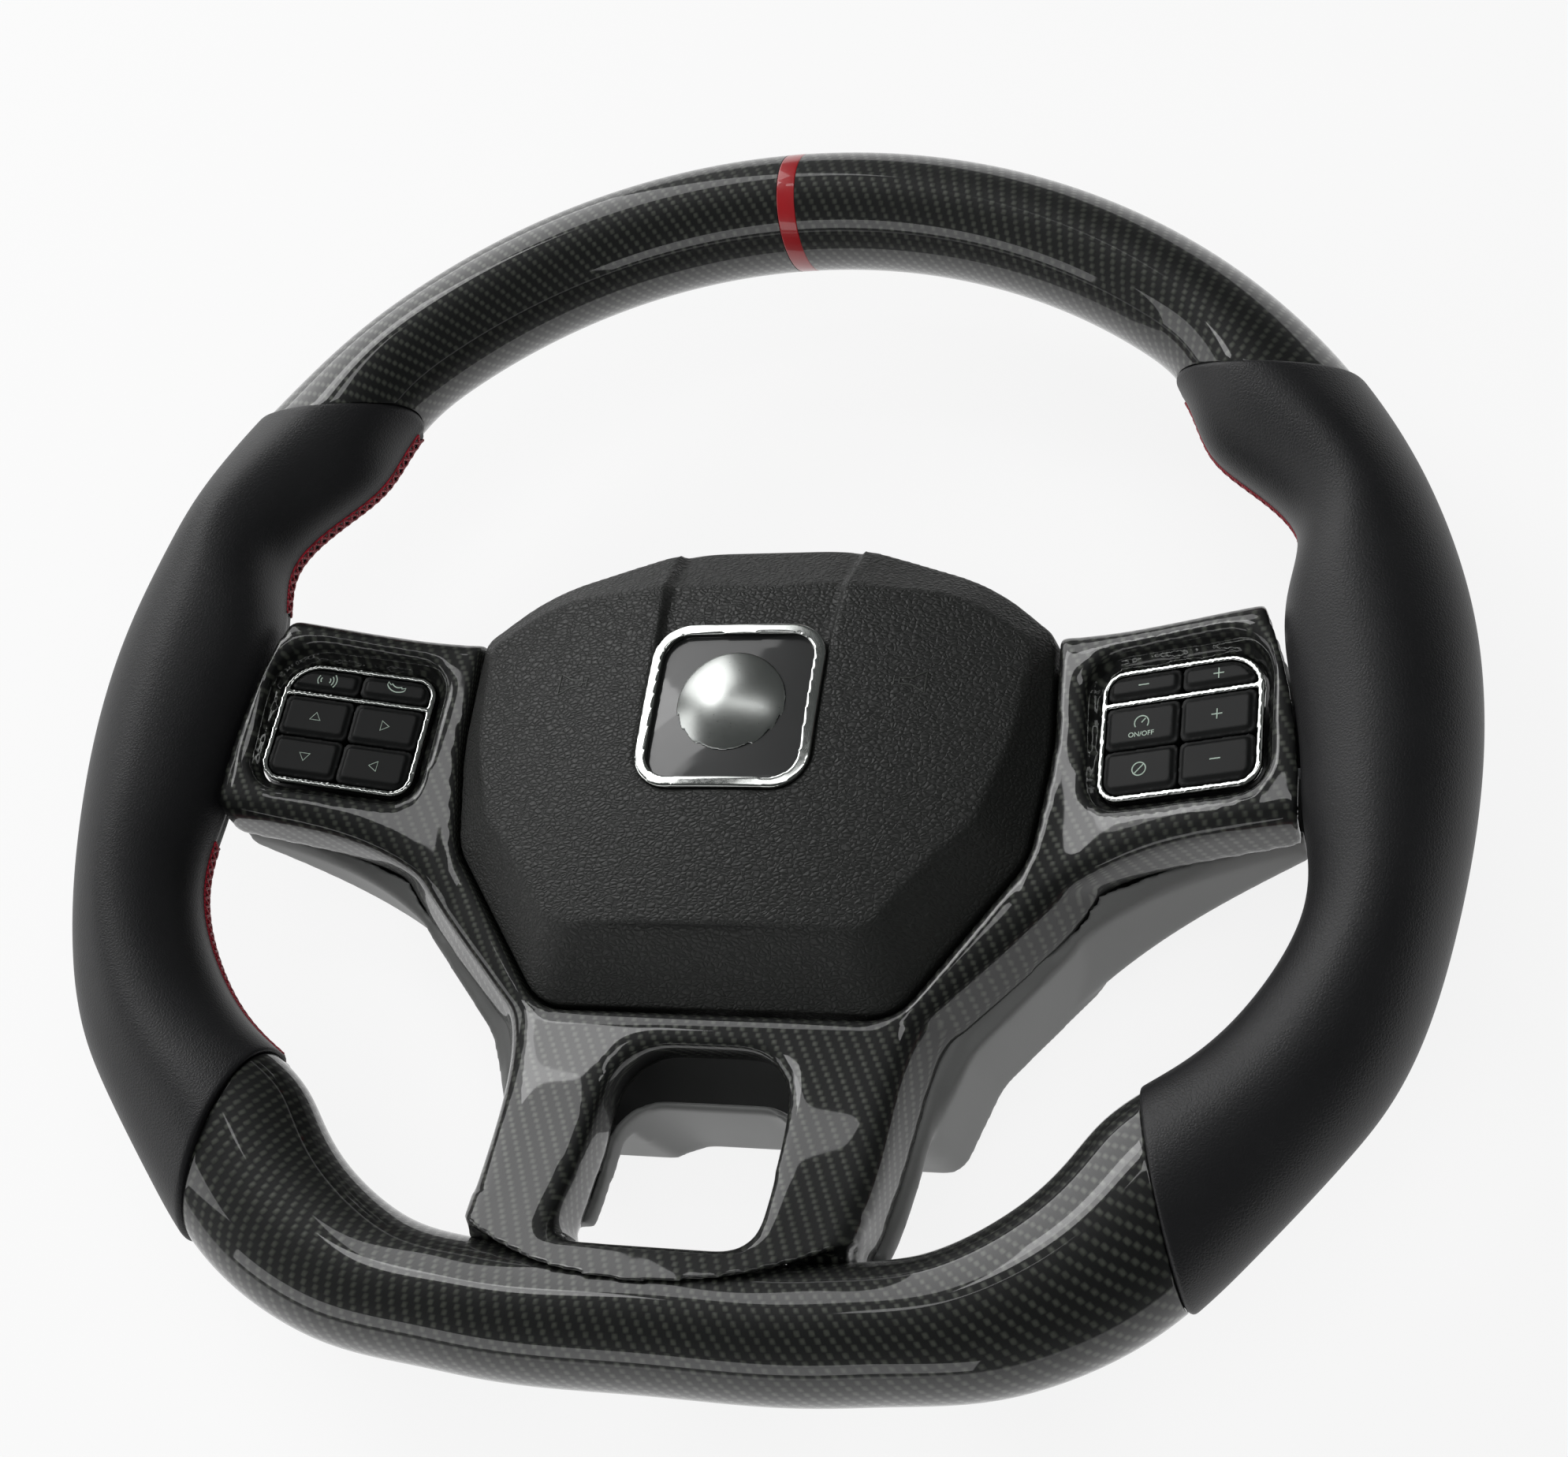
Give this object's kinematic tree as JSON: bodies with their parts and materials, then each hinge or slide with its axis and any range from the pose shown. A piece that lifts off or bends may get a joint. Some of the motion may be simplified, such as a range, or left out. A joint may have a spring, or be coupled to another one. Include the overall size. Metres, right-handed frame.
{
  "type": "road vehicle steering wheel",
  "caption": "Flat-bottomed steering wheel with woven-carbon rim, leather grips, airbag cover, key pads in the side spokes and a double lower spoke.",
  "frame": {"origin": "centre of the hub bore's mouth, on the steering axis", "axes": "+Z along the steering axis towards the driver, +Y to the rim's 12 o'clock, +X to its 3 o'clock"},
  "size_m": [0.3772, 0.341, 0.0841],
  "materials": {
    "hub_steel": "turned",
    "zinc_steel": "satin",
    "spring_steel": "satin",
    "cast_light_alloy": "as cast",
    "rim_foam": "matte",
    "carbon_gloss": "clear coat over woven carbon",
    "red_gloss": "clear coat",
    "black_leather": "fine matte grain",
    "red_thread": "waxed thread",
    "grained_black": "pebble grain",
    "emblem_black": "dark brushed",
    "bright_chrome": "polished",
    "can_steel": "pressed sheet",
    "inflator_metal": "satin",
    "cushion_fabric": "woven",
    "contact_brass": "polished",
    "shroud_grey": "satin",
    "key_black": "soft touch",
    "pack_black": "matte",
    "board_green": "solder mask",
    "connector_white": "matte",
    "squib_yellow": "matte"
  },
  "bodies": {
    "wheel": {"hub_insert": "hub_steel", "hub_washer": "zinc_steel", "hub_bolt": "zinc_steel", "armature": "cast_light_alloy", "rim_core": "rim_foam", "upper_rim_shell": "carbon_gloss", "lower_rim_shell": "carbon_gloss", "centre_stripe": "red_gloss", "right_grip_leather": "black_leather", "left_grip_leather": "black_leather", "right_seam_stitches": "red_thread", "left_seam_stitches": "red_thread", "guide_pins": "zinc_steel", "horn_springs": "spring_steel", "horn_contacts_fixed": "contact_brass", "spoke_bezel": "carbon_gloss", "rear_shroud": "shroud_grey", "shroud_screws": "zinc_steel", "right_spoke_cover": "shroud_grey", "left_spoke_cover": "shroud_grey", "right_leg_cover": "shroud_grey", "left_leg_cover": "shroud_grey", "main_connector": "connector_white", "right_switch_frame": "bright_chrome", "right_switch_housing": "pack_black", "right_switch_board": "board_green", "right_switch_screws": "zinc_steel", "right_pack_socket": "connector_white", "left_switch_frame": "bright_chrome", "left_switch_housing": "pack_black", "left_switch_board": "board_green", "left_switch_screws": "zinc_steel", "left_pack_socket": "connector_white"},
    "airbag_module": {"airbag_cover": "grained_black", "emblem_plate": "emblem_black", "emblem_frame": "bright_chrome", "emblem_medal": "bright_chrome", "airbag_housing": "can_steel", "inflator": "inflator_metal", "retainer_ring": "zinc_steel", "inflator_nuts": "zinc_steel", "folded_cushion": "cushion_fabric", "horn_contacts_moving": "contact_brass", "squib_socket": "squib_yellow"},
    "right_key_top_inner": {"right_key_top_inner": "key_black"},
    "right_key_top_outer": {"right_key_top_outer": "key_black"},
    "right_key_middle_inner": {"right_key_middle_inner": "key_black"},
    "right_key_middle_outer": {"right_key_middle_outer": "key_black"},
    "right_key_bottom_inner": {"right_key_bottom_inner": "key_black"},
    "right_key_bottom_outer": {"right_key_bottom_outer": "key_black"},
    "left_key_top_inner": {"left_key_top_inner": "key_black"},
    "left_key_top_outer": {"left_key_top_outer": "key_black"},
    "left_key_middle_inner": {"left_key_middle_inner": "key_black"},
    "left_key_middle_outer": {"left_key_middle_outer": "key_black"},
    "left_key_bottom_inner": {"left_key_bottom_inner": "key_black"},
    "left_key_bottom_outer": {"left_key_bottom_outer": "key_black"}
  },
  "joints": [
    {"name": "right_top_inner_press", "type": "slide", "parent": "wheel", "child": "right_key_top_inner", "axis": [-0.2157, 0.0877, 0.9725], "range_m": [-0.001, 0], "stiffness_N_per_m": 600, "springref_m": 0.0005},
    {"name": "right_top_outer_press", "type": "slide", "parent": "wheel", "child": "right_key_top_outer", "axis": [-0.2157, 0.0877, 0.9725], "range_m": [-0.001, 0], "stiffness_N_per_m": 600, "springref_m": 0.0005},
    {"name": "right_middle_inner_press", "type": "slide", "parent": "wheel", "child": "right_key_middle_inner", "axis": [-0.2157, 0.0877, 0.9725], "range_m": [-0.001, 0], "stiffness_N_per_m": 600, "springref_m": 0.0005},
    {"name": "right_middle_outer_press", "type": "slide", "parent": "wheel", "child": "right_key_middle_outer", "axis": [-0.2157, 0.0877, 0.9725], "range_m": [-0.001, 0], "stiffness_N_per_m": 600, "springref_m": 0.0005},
    {"name": "right_bottom_inner_press", "type": "slide", "parent": "wheel", "child": "right_key_bottom_inner", "axis": [-0.2157, 0.0877, 0.9725], "range_m": [-0.001, 0], "stiffness_N_per_m": 600, "springref_m": 0.0005},
    {"name": "right_bottom_outer_press", "type": "slide", "parent": "wheel", "child": "right_key_bottom_outer", "axis": [-0.2157, 0.0877, 0.9725], "range_m": [-0.001, 0], "stiffness_N_per_m": 600, "springref_m": 0.0005},
    {"name": "left_top_inner_press", "type": "slide", "parent": "wheel", "child": "left_key_top_inner", "axis": [0.2157, 0.0877, 0.9725], "range_m": [-0.001, 0], "stiffness_N_per_m": 600, "springref_m": 0.0005},
    {"name": "left_top_outer_press", "type": "slide", "parent": "wheel", "child": "left_key_top_outer", "axis": [0.2157, 0.0877, 0.9725], "range_m": [-0.001, 0], "stiffness_N_per_m": 600, "springref_m": 0.0005},
    {"name": "left_middle_inner_press", "type": "slide", "parent": "wheel", "child": "left_key_middle_inner", "axis": [0.2157, 0.0877, 0.9725], "range_m": [-0.001, 0], "stiffness_N_per_m": 600, "springref_m": 0.0005},
    {"name": "left_middle_outer_press", "type": "slide", "parent": "wheel", "child": "left_key_middle_outer", "axis": [0.2157, 0.0877, 0.9725], "range_m": [-0.001, 0], "stiffness_N_per_m": 600, "springref_m": 0.0005},
    {"name": "left_bottom_inner_press", "type": "slide", "parent": "wheel", "child": "left_key_bottom_inner", "axis": [0.2157, 0.0877, 0.9725], "range_m": [-0.001, 0], "stiffness_N_per_m": 600, "springref_m": 0.0005},
    {"name": "left_bottom_outer_press", "type": "slide", "parent": "wheel", "child": "left_key_bottom_outer", "axis": [0.2157, 0.0877, 0.9725], "range_m": [-0.001, 0], "stiffness_N_per_m": 600, "springref_m": 0.0005},
    {"name": "horn_press", "type": "slide", "parent": "wheel", "child": "airbag_module", "axis": [0, 0, 1], "range_m": [-0.0025, 0], "stiffness_N_per_m": 8000, "springref_m": 0.003, "deforming": ["horn_springs"]}
  ]
}
